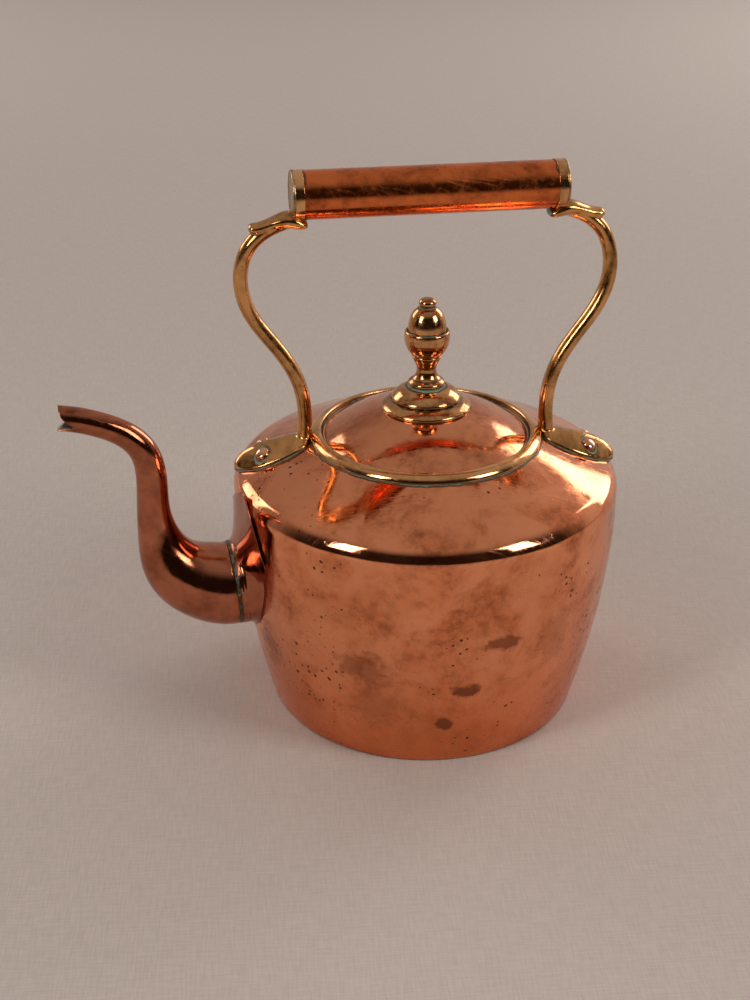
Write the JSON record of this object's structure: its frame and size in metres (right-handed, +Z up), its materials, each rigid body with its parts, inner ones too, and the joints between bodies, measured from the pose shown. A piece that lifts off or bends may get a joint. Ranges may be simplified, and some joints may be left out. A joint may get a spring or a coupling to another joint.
{
  "type": "kettle",
  "caption": "Round-bellied copper kettle with goose-neck spout, lift-off domed lid with acorn knob, and copper tube handle on riveted brass S-brackets.",
  "frame": {"origin": "centre of the flat base, on the surface the kettle stands on", "axes": "+Z up through the knob, X along the line of the two bracket feet, spout towards -X and a little towards -Y"},
  "size_m": [0.2855, 0.2028, 0.291],
  "materials": {
    "copper": "polished, aged, mottled",
    "dark_copper": "polished, heat-darkened",
    "rivet_copper": "hammered and worn",
    "brass": "polished, brown in the recesses"
  },
  "bodies": {
    "kettle": {"body_shell": "copper", "base_plate": "copper", "rim_ring": "brass", "neck_sleeve": "brass", "spout_pipe": "copper", "spout_collar": "copper", "spout_seam_bead": "brass", "bracket_left": "brass", "bracket_right": "brass", "ferrule_left": "brass", "ferrule_right": "brass", "end_cap_left": "brass", "end_cap_right": "brass", "handle_tube": "dark_copper", "rivet_left_front": "rivet_copper", "rivet_left_back": "rivet_copper", "rivet_right_front": "rivet_copper", "rivet_right_back": "rivet_copper"},
    "lid": {"lid_dome": "copper", "lid_bezel": "copper", "knob_foot_disc": "dark_copper", "knob_foot_dome": "dark_copper", "knob_stem": "dark_copper", "knob_cup": "dark_copper", "knob_acorn": "dark_copper", "knob_tip": "dark_copper", "knob_stud": "brass", "knob_washer": "brass", "knob_nut": "brass"}
  },
  "joints": [
    {"name": "lid_lift", "type": "slide", "parent": "kettle", "child": "lid", "axis": [0, 0, 1], "range_m": [0, 0.04]}
  ]
}
